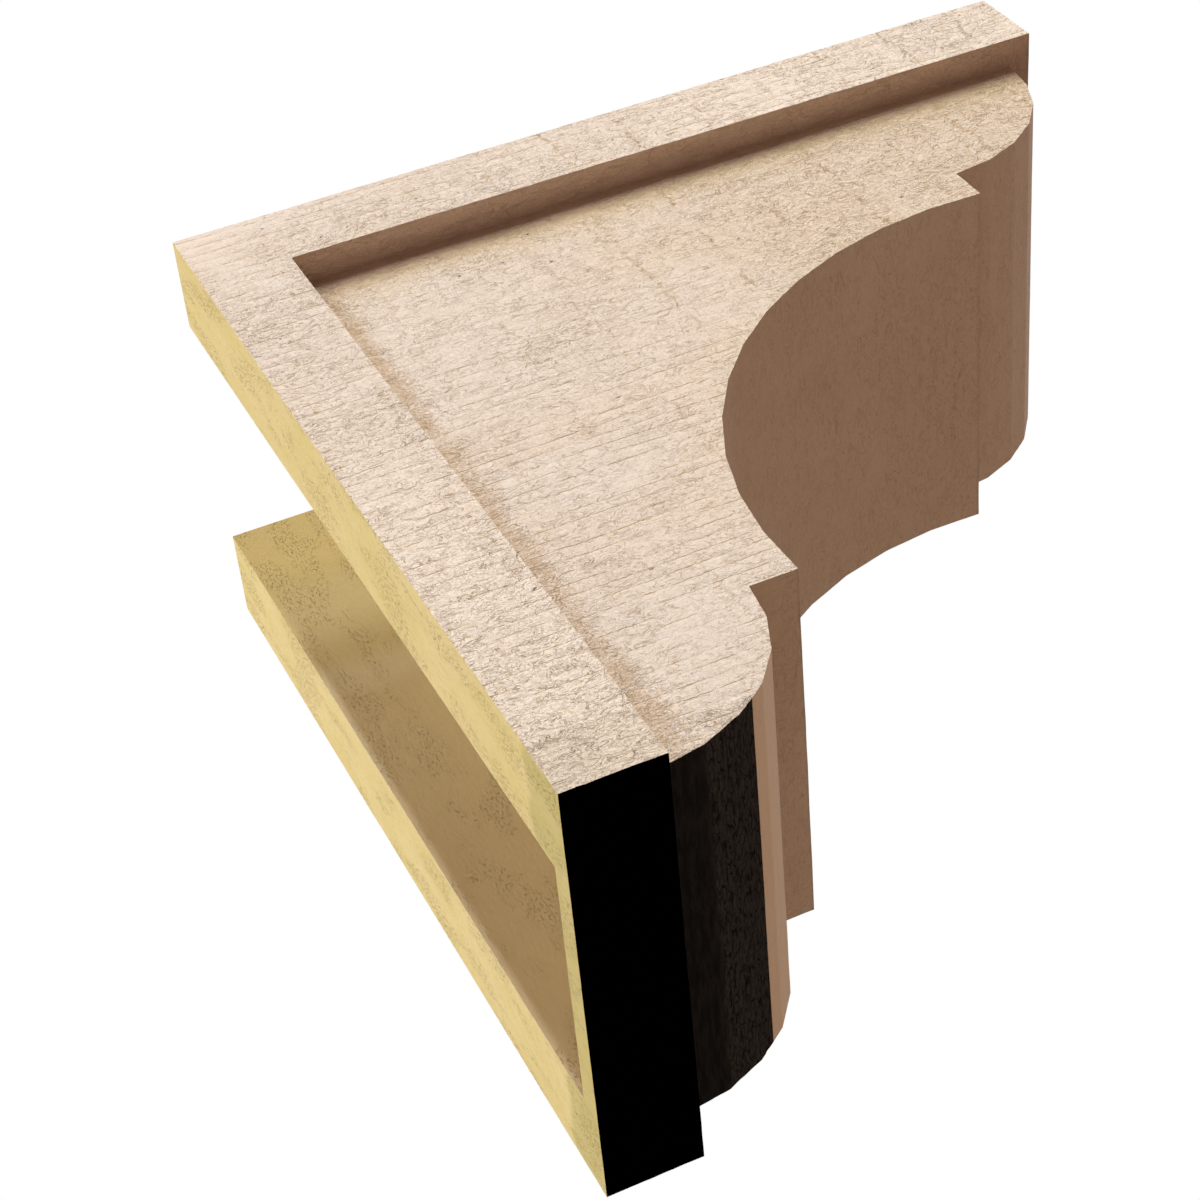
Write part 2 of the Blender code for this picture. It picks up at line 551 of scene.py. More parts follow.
def layeredNoise(along, across, layers=3):
    # Layers of noise, each twice as fine and half as strong, in all between 0 and 1
    total, weight, weights = 0.0, 1.0, 0.0
    for layer in range(layers):
        finer = 2 ** layer
        total = total + weight * valueNoise(along * finer + 17.3 * layer, across * finer + 5.7 * layer)
        weights += weight
        weight *= 0.5
    return total / weights


def skinNoise(name, along, across, offset=0.0, layers=3):
    long, short = reliefNoise[name]
    return layeredNoise(along / long + offset, across / short, layers)


def smoothStep(value, low, high):
    share = np.clip((value - low) / (high - low), 0.0, 1.0)
    return share * share * (3 - 2 * share)


sawn = {
    "pitch": 0.0050,  # between saw marks
    "wobble": 0.0024,
    "jitter": 0.25,  # of the wobble
    "markLength": 0.022,
    "markFade": (0.26, 0.50),
    "markDepth": 0.00016,
    "markWidth": 0.00060,
    "push": 1.6,  # of a crumple's length
    "crumpleDepth": 0.00024,
    "waveDepth": 0.00018,
    "bandPitch": 0.0262,  # between the places where the blade checked
    "bandSway": 0.0015,
    "bandDepth": 0.00014,
    "footBand": 0.0212,  # rougher and greyer, up from the foot
    "footBlur": 0.0006,
    "footWeight": 1.6,  # added to the depth of the crumples on it
    "footEndShare": 0.3,  # of the depth, under the foot
    "foamDepth": 0.00015,
    "plateSlack": 0.0005,  # the plates' finish reaches this far past them
}
footTop = armLength - sawn["footBand"]


def sawMarks(along, across):
    # The phase counts the marks, one each pitch, and wanders a little. Each mark fades in and out
    # along its length, and a mark lies where the phase is a half.
    wander = skinNoise("wander", along, across) - 0.5
    wander = wander + sawn["jitter"] * (skinNoise("jitter", along, across) - 0.5)
    phase = (across + sawn["wobble"] * wander) / sawn["pitch"]
    line = np.floor(phase)
    strength = layeredNoise(along / sawn["markLength"], line * 3.7 + 0.5)
    away = (phase - line - 0.5) * sawn["pitch"] / sawn["markWidth"]
    return phase, smoothStep(strength, *sawn["markFade"]), np.exp(-away ** 2)


def crumpled(along, across):
    # Noise drawn out a little along the grain, at coordinates that other noise has pushed about
    pushed = skinNoise("push", along, across, 3.3, 2) - 0.5
    pulled = skinNoise("push", along, across, 57.9, 2) - 0.5
    long, short = reliefNoise["crumple"]
    return layeredNoise(along / long + sawn["push"] * pushed, across / short + sawn["push"] * pulled, 2)


plateSkin = {
    "rough": 0.48,  # 0 is smooth, 1 is badly torn
    "patches": 0.14,
    "patchRange": (0.30, 0.60),
    "footRough": 0.76,
    "smoothCorner": 0.06,  # reach of the smoother place where the plates meet
    "outShare": 0.3,  # out counts for less than down
    "cornerPower": 0.3,
    "marks": 0.85,  # strength of the saw marks
}


def skinOfPlate(strength, patchy, foot, out, down):
    # Rougher in patches and at the foot, which has no saw marks, and smoother towards the corner
    look = plateSkin
    rough = look["rough"] + look["patches"] * smoothStep(patchy, *look["patchRange"])
    corner = smoothStep(down + look["outShare"] * out, 0.0, look["smoothCorner"])
    rough = np.maximum(rough, look["footRough"] * foot) * corner ** look["cornerPower"]
    return rough, look["marks"] * strength * (1 - foot), np.zeros(len(out))


panelSkin = {
    "rough": 0.40,
    "patches": 0.18,
    "patchRange": (0.40, 0.90),
    "footRough": 0.85,
    "outward": (0.11, 0.19),  # more patches and fainter saw marks from here outwards
    "outwardPatches": 0.35,
    "outwardFade": 0.7,
    "upper": (0.05, 0.15),  # fainter saw marks above this
    "upperMarks": 0.3,
    # painted shade: the darkest part below the top plate, its ochre fringe, and beside the back plate
    "darkReach": 0.0070,
    "ochreReach": 0.0170,
    "besideReach": 0.0135,
    "besideSway": 0.004,
    "besideBlur": (0.008, 0.001),
    "besideShade": 0.34,
    "besidePatches": (0.2, 1.6),
    "besideRough": 1.4,
}


def skinOfPanel(strength, patchy, foot, out, down):
    look = panelSkin
    outward = smoothStep(out, *look["outward"])
    torn = smoothStep(patchy + look["outwardPatches"] * outward, *look["patchRange"])
    rough = np.maximum(look["rough"] + look["patches"] * torn, look["footRough"] * foot)
    lower = smoothStep(down, *look["upper"])
    upper = look["upperMarks"]
    strength = strength * (1 - look["outwardFade"] * outward) * (upper + (1 - upper) * lower)

    # Below the top plate the painted shade falls as exp(-(depth / reach) ^ 3) and as exp(-(depth /
    # reach) ^ 2), and beside the back plate it ends in a ragged edge and comes in patches
    below = np.maximum(down - plate, 0.0)
    dark = np.exp(-(below / look["darkReach"]) ** 3)
    ochre = np.exp(-(below / look["ochreReach"]) ** 2)
    paintedShadeAndPale = 0.5 * dark + 0.5 * ochre
    edge = look["besideReach"] + look["besideSway"] * (skinNoise("paintedShadeEdge", down, out) - 0.5)
    before, after = look["besideBlur"]
    beside = look["besideShade"] * (1 - smoothStep(out - plate, edge - before, edge + after))
    least, more = look["besidePatches"]
    beside = beside * (least + more * skinNoise("paintedShadeAndPale", down, out, 3.1))
    return rough + look["besideRough"] * beside, strength, np.maximum(paintedShadeAndPale, beside)


edgeSkin = {
    "stripRough": 0.25,
    "stripMarks": 0.4,
    "rough": 0.20,
    "marks": 0.2,
    "paintedShadeAndPale": (0.40, 0.60),  # painted shade at the outer edge of the recess, and what is added up to the panel
}


def skinOfEdge(region, strength, x, out, down):
    # The narrow faces: painted shade in the recess beside the panel, deepest next to it, and under the
    # end of the top plate; none on the rest of the plates' ends
    least, more = edgeSkin["paintedShadeAndPale"]
    paintedShadeAndPale = least + more * smoothStep(halfWidth - np.abs(x), 0.0, corbel["panelRecess"])
    if region == "strip":
        return np.full(len(x), edgeSkin["stripRough"]), edgeSkin["stripMarks"] * strength, paintedShadeAndPale
    underPlate = (np.abs(down - plate) < tiny) & (out > noseTip - tiny)
    paintedShadeAndPale = np.where(underPlate, paintedShadeAndPale, 0.0)
    return np.full(len(x), edgeSkin["rough"]), edgeSkin["marks"] * strength, paintedShadeAndPale


frontSkin = {
    "depth": 0.00015,
    "shadedReliefDepth": 0.00050,
    "coarse": (0.012, 0.018),  # where the black painted shade turns coarse and lighter, with painted glints, from its end at the foot
    "coarseEnd": (0.004, 0.001),  # before and past its other end
    "rough": 0.20,
    # how much lighter the black painted shade is, with painted glints: near the foot, and further up
    "paintedGlints": (0.35, 0.65),
    "shadeSlack": 0.0005,
    "glintSlack": 0.001,
    "paleReach": 1.6,  # of the black painted shade's reach
}


def frontRelief(along, across, wave):
    # Streaks along x, coarser on the black painted shade, and a paler strip of the nose beyond it
    look = frontSkin
    fromEnd = across.max() - across
    coarse = smoothStep(fromEnd, *look["coarse"])
    before, after = look["coarseEnd"]
    onShade = coarse * (1 - smoothStep(fromEnd, shadeReach - before, shadeReach + after))
    depth = look["depth"] + (look["shadedReliefDepth"] - look["depth"]) * onShade
    depth = depth * skinNoise("streaks", along, across) + look["depth"] * wave
    least, more = look["paintedGlints"]
    rough = np.where(fromEnd < shadeReach + look["glintSlack"], least + more * coarse, look["rough"])
    beyond = fromEnd > shadeReach - look["glintSlack"]
    pale = beyond & (fromEnd < shadeReach * look["paleReach"] + look["shadeSlack"])
    return depth, rough, -1.0 * pale


def reliefOf(patch):
    # The depth below the solid's face, in metres, and two fields of three numbers for the finishes.
    # saw: phase of the saw marks, their strength, roughness. On the foam the third number is 1 in the
    # hollow, and on the black painted shade it is how much lighter it is, with painted glints.
    # place: out, down, painted shade. Where that is -1, the skin is paler.
    region, along, across = patch["region"], patch["grain"][:, 0], patch["grain"][:, 1]
    x, out, down = patch["points"][:, 0], -patch["points"][:, 1], topHeight - patch["points"][:, 2]
    nothing = np.zeros(len(along))
    if region in ("foam", "hollow"):
        depth = sawn["foamDepth"] * skinNoise("foam", along, across)
        return depth, (nothing, nothing, nothing + (region == "hollow")), (out, down, nothing)

    phase, strength, mark = sawMarks(along, across)
    wave = skinNoise("wave", along, across)
    if region == "front":
        depth, rough, paintedShadeAndPale = frontRelief(along, across, wave)
        return depth, (phase, nothing, rough), (out, down, paintedShadeAndPale)

    patchy = skinNoise("patches", along, across, 9.1)
    foot = smoothStep(down, footTop - sawn["footBlur"], footTop + sawn["footBlur"])
    if region == "plate":
        rough, strength, paintedShadeAndPale = skinOfPlate(strength, patchy, foot, out, down)
    elif region == "panel":
        rough, strength, paintedShadeAndPale = skinOfPanel(strength, patchy, foot, out, down)
    else:
        rough, strength, paintedShadeAndPale = skinOfEdge(region, strength, x, out, down)

    # Saw marks and a slow wave, a crumple as deep as the skin is rough, and a height for each band
    swayed = out + sawn["bandSway"] * (skinNoise("bandEdge", down, out) - 0.5)
    band = np.floor(swayed / sawn["bandPitch"])
    level = valueNoise(band * 7.3 + 0.5, band * 3.1 + 0.5)
    depth = sawn["markDepth"] * mark * strength + sawn["waveDepth"] * wave
    heavy = rough * (1 + sawn["footWeight"] * foot)
    depth = depth + sawn["crumpleDepth"] * heavy * crumpled(along, across)
    depth = depth + sawn["bandDepth"] * level * rough
    if region == "foot":
        depth, rough = sawn["footEndShare"] * depth, nothing
    return depth, (phase, strength, rough), (out, down, paintedShadeAndPale)


# One closed mesh from all the patches

# The last finish is black painted shade, on the foot and the lower nose
finishes = ("sawn_skin", "bare_foam", "dark_coat")


def weldPatches():
    # Points that lie together become one, moved inwards by the relief of every patch that it is on
    points = np.concatenate([patch["points"] for patch in patches])
    starts = np.cumsum([0] + [len(patch["points"]) for patch in patches])
    depths, saws, places = zip(*(reliefOf(patch) for patch in patches))
    pairs = zip(patches, depths)
    inward = np.concatenate([-patch["normals"] * depth[:, None] for patch, depth in pairs])
    keys = np.floor(points / meshing["weldGrid"] + 0.5).astype(np.int64)
    _, first, index = np.unique(keys, axis=0, return_index=True, return_inverse=True)
    index = index.reshape(-1)
    moved = points[first].copy()
    np.add.at(moved, index, inward)

    faces = np.concatenate([patch["faces"] + start for patch, start in zip(patches, starts)])
    grain = np.concatenate([patch["grain"] for patch in patches])[faces.ravel()]
    fields = {
        "saw": np.concatenate([np.column_stack(saw) for saw in saws])[faces.ravel()],
        "place": np.concatenate([np.column_stack(place) for place in places])[faces.ravel()],
    }
    owner = np.concatenate([np.full(len(patch["faces"]), i) for i, patch in enumerate(patches)])
    named = np.concatenate([patch["finish"] for patch in patches])
    slots = np.select([named == name for name in finishes], range(len(finishes)))
    return moved, index[faces], fields, grain, owner, slots


def sharpEdges(mesh, owner):
    # Sharp where two patches meet, smooth within them
    edgeOfLoop = np.empty(len(mesh.loops), int)
    mesh.loops.foreach_get("edge_index", edgeOfLoop)
    ownerOfLoop = np.repeat(owner, 3)
    least = np.full(len(mesh.edges), len(patches))
    most = np.full(len(mesh.edges), -1)
    np.minimum.at(least, edgeOfLoop, ownerOfLoop)
    np.maximum.at(most, edgeOfLoop, ownerOfLoop)
    return least != most


def buildCorbel():
    buildPatches()
    points, faces, fields, grain, owner, slots = weldPatches()
    mesh = bpy.data.meshes.new("sawn_corbel")
    mesh.from_pydata(points, [], faces)
    mesh.uv_layers.new(name="grain").data.foreach_set("uv", grain.ravel())
    for name, values in fields.items():
        mesh.attributes.new(name, "FLOAT_VECTOR", "CORNER").data.foreach_set("vector", values.ravel())
    for finish in finishes:
        mesh.materials.append(bpy.data.materials.new(finish))
    mesh.polygons.foreach_set("material_index", slots)
    sharp = sharpEdges(mesh, owner)
    mesh.shade_smooth()
    mesh.attributes.new("sharp_edge", "BOOLEAN", "EDGE").data.foreach_set("value", sharp)
    mesh.update()

    piece = bpy.data.objects.new("sawn_corbel", mesh)
    bpy.context.scene.collection.objects.link(piece)
    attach(piece, "root")
    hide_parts("corbel_body")
    return piece


# Finishes. They share how they begin and how they end.

def startFinish(name):
    material = bpy.data.materials[name]
    material.use_nodes = True
    tree = material.node_tree
    shader = tree.nodes["Principled BSDF"]
    coords = addNode(tree, "UVMap", uv_map="grain").outputs[0]
    fields = []
    for attribute in ("saw", "place"):
        vector = addNode(tree, "Attribute", attribute_name=attribute).outputs["Vector"]
        fields.extend(addNode(tree, "SeparateXYZ", {0: vector}).outputs)
    return tree, shader, coords, fields


def endFinish(tree, shader, look, colour, height, pattern):
    # The bump follows the height, and the roughness a pattern
    inputs = {"Strength": look["bumpStrength"], "Distance": look["bumpDepth"], "Height": height}
    bump = addNode(tree, "Bump", inputs)
    tree.links.new(colour, shader.inputs["Base Color"])
    tree.links.new(bump.outputs[0], shader.inputs["Normal"])
    tree.links.new(ramp(tree, pattern, *look["roughness"]), shader.inputs["Roughness"])
    shader.inputs["Specular IOR Level"].default_value = look["specular"]


sawnLook = {
    "pink": (0.778, 0.703, 0.610, 1.0),
    "tan": (0.728, 0.612, 0.446, 1.0),
    # painted light: the plates paler towards their ends
    "plateEndLight": (0.888, 0.807, 0.685, 1.0),
    "crest": (0.870, 0.802, 0.700, 1.0),
    "hollowBrown": (0.570, 0.385, 0.175, 1.0),
    "creaseBrown": (0.335, 0.195, 0.065, 1.0),
    "footCrease": (0.313, 0.231, 0.152, 1.0),
    "markBrown": (0.455, 0.283, 0.105, 1.0),
    "pitBrown": (0.174, 0.104, 0.052, 1.0),
    # tones of painted shade: the ochre fringe, beside the back plate, on the recess walls, and the
    # deepest
    "ochre": (0.618, 0.483, 0.278, 1.0),
    "besideTan": (0.650, 0.485, 0.305, 1.0),
    "wallTan": (0.690, 0.530, 0.420, 1.0),
    "shadeBrown": (0.562, 0.435, 0.368, 1.0),
    "pale": (1.0, 0.91, 0.74, 1.0),
    "footGrey": (0.93, 0.910, 0.860, 1.0),
    "bumpStrength": 1.0,
    "bumpDepth": 0.001,
    "roughness": (0.3, 0.7, 0.74, 0.90),
    "specular": 0.22,
}

sawnNoise = {
    # features to the metre along the grain and across it, then detail, roughness and distortion
    "sway": ((70, 70), 4, 0.6),
    "tornPlaces": ((25, 45), 2),
    "folds": ((150, 330), 4, 0.62, 0.8),
    "creasePlaces": ((45, 80), 2),
    "curls": ((430, 640), 2, 0.5, 1.4),
    "curlPlaces": ((90, 130), 2),
    "grain": ((740, 1150), 3, 0.66, 1.0),
    "checkPlaces": ((55, 90), 3),
    "gaps": ((200, 260), 3, 0.6),
    "jags": ((420, 300), 2),
    "drift": ((16, 22), 3),
}
pitCells = (70.0, 100.0)  # to the metre
pitsFrom = 0.95  # only the cells with a random number above this have a pit

sawnLines = {
    # the value at the middle of a line, and half the line's width
    "torn": (0.12, 0.10),
    "crease": (0.5, 0.019),
    "curl": (0.5, 0.045),
    "check": (0.17, 0.036),
    "mark": (0.58, 0.058),
}

sawnShifts = {
    # how far one pattern pushes another
    "sway": 0.30,
    "tornCreases": 0.1,
    "fray": 0.10,
    "jags": 0.16,
    "pitEdge": 0.18,
}

sawnRanges = {
    # from and to, then the values there if they aren't 0 and 1
    "torn": (0.40, 0.66),
    "tornRough": (0.1, 0.3),
    "footRough": (0.4, 0.6),
    "panelRough": (0.25, 0.38),
    "creases": (0.20, 0.50),
    "curls": (0.3, 0.7, 0.75, 1.0),
    "checks": (0.40, 0.58),
    "checkFolds": (0.37, 0.47),
    "checkRough": (0.3, 0.4),
    "checkOut": (0.04, 0.17, 0.3, 1.0),
    "gaps": (0.37, 0.57, 0.28, 1.0),
    "pits": (0.09, 0.14, 1.0, 0.0),
    "pitRough": (0.1, 0.4),
    "levelRough": (0.1, 0.5),
    "drift": (0.35, 0.65, 0.0, 0.3),
    "tanOut": (0.05, 0.28, 0.0, 0.8),
    # painted light towards the ends of the plates
    "plateEndLight": (0.08, 0.24),
    "crests": (0.46, 0.60),
    "hollows": (0.37, 0.47, 1.0, 0.0),
    # painted shade: how the grain breaks it up, where its ochre fringe starts and ends, and how it mixes
    # in
    "shadeOnGrain": (0.35, 0.65, 1.15, 0.75),
    "fringe": (plate + 0.010, plate + 0.020),
    "paintedShadeAndPale": (0.0, 0.5, 0.0, 0.85),
    "deepShade": (0.4, 1.0, 0.0, 0.95),
    "pale": (-0.6, -0.4, 1.0, 0.0),
}

sawnAmounts = {
    # how crumpled the skin looks where it is smooth and rough, and what torn places and painted shade
    # add
    "smooth": 0.15,
    "rough": 1.15,
    "torn": 0.12,
    "paintedShadeAndPale": 0.5,
    # how much of its colour each detail has
    "crest": 0.70,
    "hollow": 0.56,
    "footHollow": 0.27,
    "curl": 0.48,
    "crease": 0.95,
    "check": 0.55,
    "mark": 0.92,
    "pit": 0.8,
    # what is left of it where the skin isn't crumpled
    "smoothCurl": 0.1,
    "smoothCrease": 0.25,
}

# Shares of the bump's depth: of the crumpled skin, and of what lies over it
crumpleHeights = {"folds": 0.26, "footFolds": 0.35, "grain": 0.34, "crease": -0.15, "curl": -0.12}
detailHeights = {"mark": -0.14, "check": -0.12, "pit": -0.5, "step": 0.15}


def sawnLayer(tree, skin, name):
    return noise(tree, skin["coords"], *sawnNoise[name])


def sawnRamp(tree, value, name):
    return ramp(tree, value, *sawnRanges[name])


def sawnLine(tree, value, name):
    return near(tree, value, *sawnLines[name])


def pushedBy(tree, pattern, name, value):
    return calc(tree, "MULTIPLY_ADD", pattern, sawnShifts[name], value)


def addBands(tree, skin):
    # Bands where the blade checked: another height on each, and a crumpled strip along the change
    pitches = calc(tree, "DIVIDE", skin["out"], sawn["bandPitch"])
    band = pushedBy(tree, sawnLayer(tree, skin, "sway"), "sway", pitches)
    number = {"W": calc(tree, "FLOOR", band)}
    skin["band"] = band
    skin["level"] = addNode(tree, "TexWhiteNoise", number, noise_dimensions="1D").outputs["Value"]
    skin["torn"] = product(tree, sawnLine(tree, calc(tree, "FRACT", band), "torn"),
                           sawnRamp(tree, sawnLayer(tree, skin, "tornPlaces"), "torn"),
                           sawnRamp(tree, skin["rough"], "tornRough"))


def addPlaces(tree, skin):
    # The plates, the panel, and the rougher band at the foot of the back plate
    rough, out, down = skin["rough"], skin["out"], skin["down"]
    pastPlate = plate + sawn["plateSlack"]
    footEdge = ramp(tree, down, footTop - sawn["footBlur"], footTop + sawn["footBlur"])
    skin["foot"] = product(tree, footEdge, sawnRamp(tree, rough, "footRough"),
                           calc(tree, "LESS_THAN", out, pastPlate))
    skin["onPlate"] = calc(tree, "LESS_THAN", calc(tree, "MINIMUM", out, down), pastPlate)
    skin["onPanel"] = product(tree, sawnRamp(tree, rough, "panelRough"), opposite(tree, skin["onPlate"]))
    rougher = ramp(tree, rough, 0.0, 1.0, sawnAmounts["smooth"], sawnAmounts["rough"])
    skin["amount"] = weighted(tree, (skin["torn"], sawnAmounts["torn"]),
                              (skin["paintedShadeAndPale"], sawnAmounts["paintedShadeAndPale"]), (rougher, 1.0))


def addCrumples(tree, skin):
    # Long wiggly creases and short curls along the contours of noise, over a fine grain
    folds = sawnLayer(tree, skin, "folds")
    creased = pushedBy(tree, skin["torn"], "tornCreases", sawnLayer(tree, skin, "creasePlaces"))
    skin["folds"] = folds
    skin["crease"] = product(tree, sawnLine(tree, folds, "crease"), sawnRamp(tree, creased, "creases"))
    skin["curls"] = sawnLayer(tree, skin, "curls")
    skin["curl"] = product(tree, sawnLine(tree, skin["curls"], "curl"),
                           sawnRamp(tree, sawnLayer(tree, skin, "curlPlaces"), "curls"))
    skin["grain"] = sawnLayer(tree, skin, "grain")


def addChecks(tree, skin):
    # A ragged line along the change of height between two bands, in stretches
    frayed = calc(tree, "FRACT", pushedBy(tree, skin["curls"], "fray", skin["band"]))
    skin["check"] = product(tree, sawnLine(tree, frayed, "check"),
                            sawnRamp(tree, sawnLayer(tree, skin, "checkPlaces"), "checks"),
                            sawnRamp(tree, skin["folds"], "checkFolds"),
                            sawnRamp(tree, skin["rough"], "checkRough"),
                            sawnRamp(tree, skin["out"], "checkOut"), opposite(tree, skin["foot"]))


def addMarks(tree, skin):
    # Thin dark saw marks, broken up
    broken = sawnRamp(tree, sawnLayer(tree, skin, "gaps"), "gaps")
    jagged = calc(tree, "FRACT", pushedBy(tree, sawnLayer(tree, skin, "jags"), "jags", skin["phase"]))
    skin["mark"] = product(tree, sawnLine(tree, jagged, "mark"), skin["strength"], broken)


def addPits(tree, skin):
    # A few pits, each with a ragged edge
    cells = {"Vector": stretched(tree, skin["coords"], pitCells), "Scale": 1.0}
    spots = addNode(tree, "TexVoronoi", cells, voronoi_dimensions="2D").outputs
    random = addNode(tree, "SeparateColor", {0: spots["Color"]}).outputs[0]
    picked = calc(tree, "GREATER_THAN", random, pitsFrom)
    ragged = pushedBy(tree, skin["grain"], "pitEdge", spots["Distance"])
    skin["pit"] = product(tree, sawnRamp(tree, ragged, "pits"), picked,
                          sawnRamp(tree, skin["rough"], "pitRough"))


def sawnColour(tree, skin):
    # A slow drift from pink to tan, the panel tanner away from the wall, and painted light that makes
    # the plates paler towards their ends
    look, amount, grain, foot = sawnLook, skin["amount"], skin["grain"], skin["foot"]
    drift = sawnRamp(tree, sawnLayer(tree, skin, "drift"), "drift")
    tanner = product(tree, sawnRamp(tree, skin["out"], "tanOut"), skin["onPanel"])
    colour = mixed(tree, calc(tree, "ADD", drift, tanner), look["pink"], look["tan"])
    farthest = calc(tree, "MAXIMUM", skin["out"], skin["down"])
    paler = product(tree, sawnRamp(tree, farthest, "plateEndLight"), skin["onPlate"])
    colour = mixed(tree, paler, colour, look["plateEndLight"])

    # Pale crests, and brown in the hollows of the grain, the curls, the creases and the lines
    crests = product(tree, sawnRamp(tree, grain, "crests"), amount, sawnAmounts["crest"])
    colour = mixed(tree, crests, colour, look["crest"])
    creaseColour = mixed(tree, foot, look["creaseBrown"], look["footCrease"])
    brown = ramp(tree, foot, 0.0, 1.0, sawnAmounts["hollow"], sawnAmounts["footHollow"])
    hollows = product(tree, sawnRamp(tree, grain, "hollows"), amount, brown)
    colour = mixed(tree, hollows, colour, look["hollowBrown"])
    for line, smooth in (("curl", "smoothCurl"), ("crease", "smoothCrease")):
        rougher = ramp(tree, amount, 0.0, 1.0, sawnAmounts[smooth], 1.0)
        lines = product(tree, skin[line], rougher, sawnAmounts[line])
        colour = mixed(tree, lines, colour, creaseColour)
    for line in ("check", "mark"):
        colour = mixed(tree, product(tree, skin[line], sawnAmounts[line]), colour, look["markBrown"])

    # Painted shade: tan beside the plates, ochre further out on the panel, and brown where it is
    # deepest. Where its field is -1, the skin is paler.
    shadeOnGrain = product(tree, skin["paintedShadeAndPale"], sawnRamp(tree, grain, "shadeOnGrain"))
    fringe = product(tree, sawnRamp(tree, skin["out"], "fringe"), skin["onPanel"])
    paintedShadeAndPale = mixed(tree, skin["onPanel"], look["wallTan"], look["besideTan"])
    paintedShadeAndPale = mixed(tree, fringe, paintedShadeAndPale, look["ochre"])
    colour = mixed(tree, sawnRamp(tree, shadeOnGrain, "paintedShadeAndPale"), colour, paintedShadeAndPale)
    colour = mixed(tree, sawnRamp(tree, shadeOnGrain, "deepShade"), colour, look["shadeBrown"])
    colour = mixed(tree, sawnRamp(tree, skin["paintedShadeAndPale"], "pale"), colour, look["pale"])
    colour = mixed(tree, product(tree, skin["pit"], sawnAmounts["pit"]), colour, look["pitBrown"])
    return mixed(tree, foot, colour, look["footGrey"], "MULTIPLY")


def sawnHeight(tree, skin):
    # The crumpled skin, as deep as it is rough, then the lines, the pits and the height of each band
    skin["footFolds"] = product(tree, skin["folds"], skin["foot"])
    skin["step"] = product(tree, skin["level"], sawnRamp(tree, skin["rough"], "levelRough"))
    crumple = weighted(tree, *[(skin[name], share) for name, share in crumpleHeights.items()])
    details = [(skin[name], share) for name, share in detailHeights.items()]
    return weighted(tree, (crumple, skin["amount"]), *details)


def finishSawn():
    tree, shader, coords, fields = startFinish("sawn_skin")
    skin = dict(zip(("phase", "strength", "rough", "out", "down", "paintedShadeAndPale"), fields))
    skin["coords"] = coords
    for addTo in (addBands, addPlaces, addCrumples, addChecks, addMarks, addPits):
        addTo(tree, skin)
    endFinish(tree, shader, sawnLook, sawnColour(tree, skin), sawnHeight(tree, skin), skin["grain"])


foamLook = {
    "pale": (0.722, 0.630, 0.318, 1.0),
    "deep": (0.687, 0.600, 0.274, 1.0),
    "speck": (0.365, 0.287, 0.104, 1.0),
    "footShade": (0.80, 0.82, 0.72, 1.0),
    # painted shade at the top of the hollow's wall, where lamp light comes in through the open top
    "paintedShadeTop": (0.456, 0.353, 0.143, 1.0),
    "paintedLightBelow": (
        # down from and to, and the painted tone of the hollow's wall from there on, lighter than at the
        # top as painted light
        (0.028, 0.066, (0.645, 0.544, 0.282, 1.0)),
        (0.078, 0.102, (0.850, 0.783, 0.570, 1.0)),
        (0.110, 0.200, (0.738, 0.650, 0.459, 1.0)),
    ),
    "slow": ((22, 60), 3),
    "streak": ((260, 700), 5, 0.65),
    "specks": ((620, 1500), 3, 0.6, 0.4),
    "clumps": ((34, 95), 3),
    "slowRange": (0.35, 0.65),
    "streakRange": (0.50, 0.80, 0.0, 0.30),
    "speckRange": (0.56, 0.68),
    "clumpRange": (0.46, 0.62),
    "specksOutside": 0.45,
    "specksInside": 0.28,
    "footSlant": 0.010,
    "footBlur": (0.003, 0.007),
    "streakHeight": 0.6,
    "speckHeight": -0.5,
    "bumpStrength": 0.8,
    "bumpDepth": 0.0008,
    "roughness": (0.3, 0.7, 0.78, 0.95),
    "specular": 0.175,
}


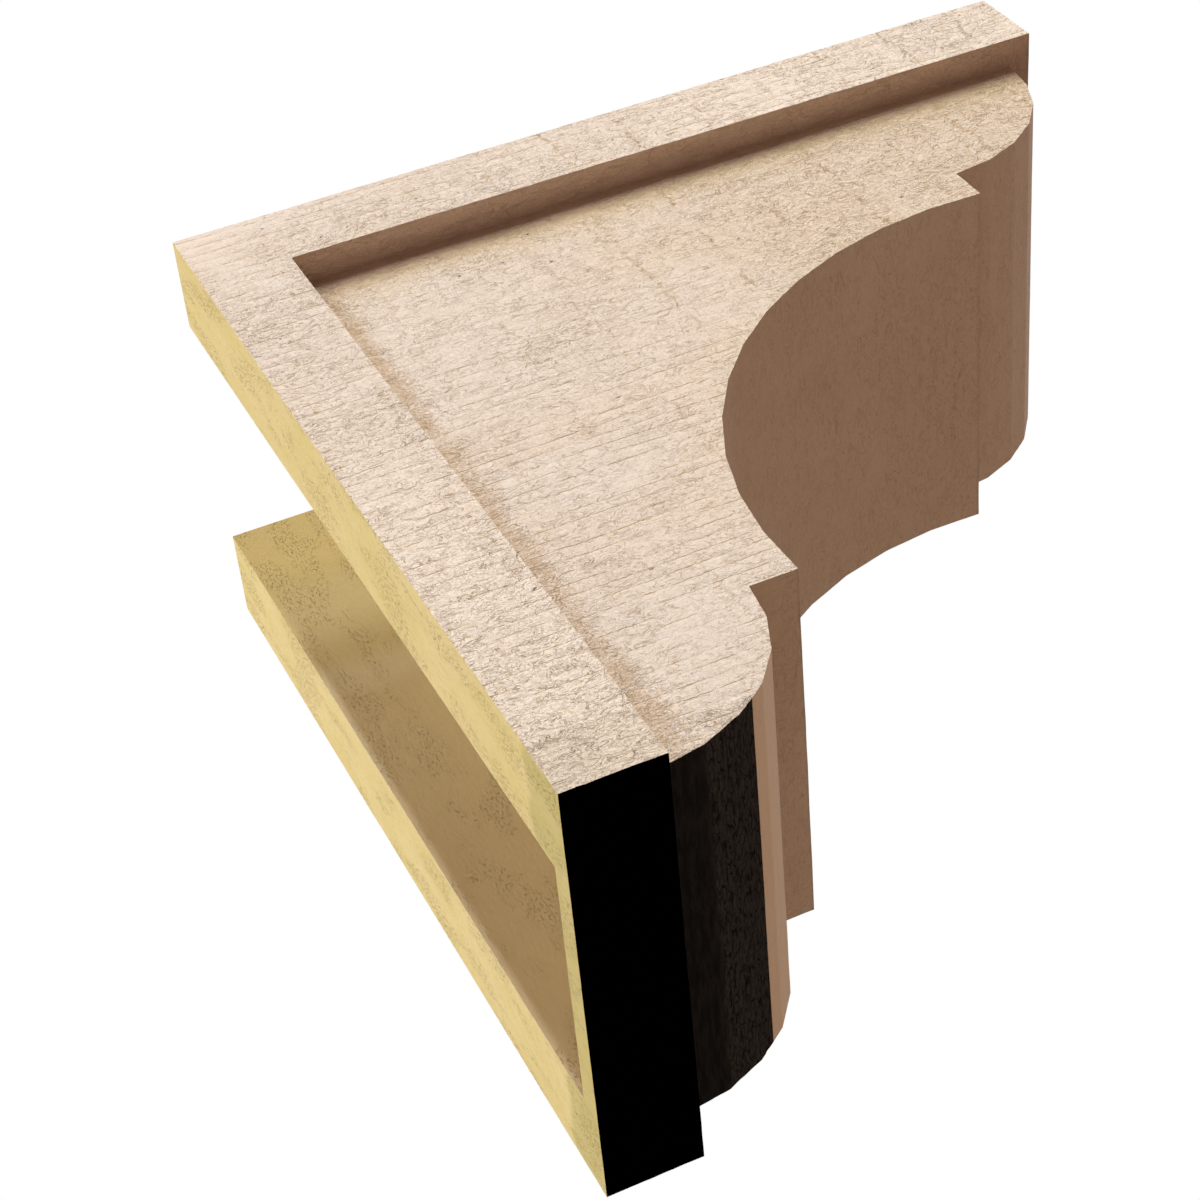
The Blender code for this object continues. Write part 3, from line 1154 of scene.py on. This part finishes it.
def finishFoam():
    # Yellow foam with soft streaks and clumps of dark specks, and greyer at the foot. On the hollow's
    # wall, painted shade darkens it near the top, where lamp light comes in, and painted light makes it
    # paler lower down
    tree, shader, coords, fields = startFinish("bare_foam")
    look, inHollow, down = foamLook, fields[2], fields[4]
    slow = noise(tree, coords, *look["slow"])
    streak = noise(tree, coords, *look["streak"])
    specks = ramp(tree, noise(tree, coords, *look["specks"]), *look["speckRange"])
    clumps = ramp(tree, noise(tree, coords, *look["clumps"]), *look["clumpRange"])
    dots = product(tree, specks, clumps)
    colour = mixed(tree, ramp(tree, slow, *look["slowRange"]), look["pale"], look["deep"])
    colour = mixed(tree, ramp(tree, streak, *look["streakRange"]), colour, look["speck"])
    # painted shade and painted light on the hollow's wall, by depth
    tone = look["paintedShadeTop"]
    for start, end, below in look["paintedLightBelow"]:
        tone = mixed(tree, ramp(tree, down, start, end), tone, below)
    colour = mixed(tree, inHollow, colour, tone)
    fewer = ramp(tree, inHollow, 0.0, 1.0, look["specksOutside"], look["specksInside"])
    colour = mixed(tree, product(tree, dots, fewer), colour, look["speck"])
    slant = calc(tree, "MULTIPLY_ADD", slow, look["footSlant"], down)
    start, end = look["footBlur"]
    foot = product(tree, ramp(tree, slant, footTop + start, footTop + end), opposite(tree, inHollow))
    colour = mixed(tree, foot, colour, look["footShade"], "MULTIPLY")
    height = weighted(tree, (streak, look["streakHeight"]), (dots, look["speckHeight"]))
    endFinish(tree, shader, look, colour, height, streak)


# Black painted shade, greyer further up the nose, with painted glints on its relief
darkLook = {
    "black": (0.0002, 0.0002, 0.0002, 1.0),
    "paintedGlints": (0.066, 0.072, 0.077, 1.0),
    "streak": ((110, 520), 5, 0.6),
    "lumps": ((320, 950), 3, 0.6, 0.8),
    "streakRange": (0.3, 0.7, 0.7, 1.3),
    "lumpRange": (0.34, 0.66, -0.70, 1.05),
    "lumpyFrom": (0.4, 0.95),  # how strong the painted glints are where the lumps start and where they are full
    "streakHeight": 0.5,
    "lumpHeight": 1.6,
    "bumpStrength": 1.0,
    "bumpDepth": 0.001,
    "roughness": (0.3, 0.7, 0.55, 0.85),
    "specular": 0.0,
}


def finishDark():
    # Painted shade: black at the foot, and greyer, streaked and lumpy further up the nose, with painted
    # glints on its relief
    tree, shader, coords, fields = startFinish("dark_coat")
    look, paintedGlints = darkLook, fields[2]
    streak = noise(tree, coords, *look["streak"])
    lumps = noise(tree, coords, *look["lumps"])
    lumpy = product(tree, ramp(tree, lumps, *look["lumpRange"]), ramp(tree, paintedGlints, *look["lumpyFrom"]))
    amount = product(tree, paintedGlints, ramp(tree, streak, *look["streakRange"]), calc(tree, "ADD", lumpy, 1.0))
    colour = mixed(tree, amount, look["black"], look["paintedGlints"])
    height = weighted(tree, (streak, look["streakHeight"]), (lumps, look["lumpHeight"]))
    endFinish(tree, shader, look, colour, product(tree, height, paintedGlints), streak)


addCamera()
addStudio()
print("camera, lamps and floor are in place")
corbelMesh = buildCorbel().data
print("corbel mesh:", len(corbelMesh.vertices), "points,", len(corbelMesh.polygons), "triangles")
finishSawn()
finishFoam()
finishDark()
print("finishes are done")
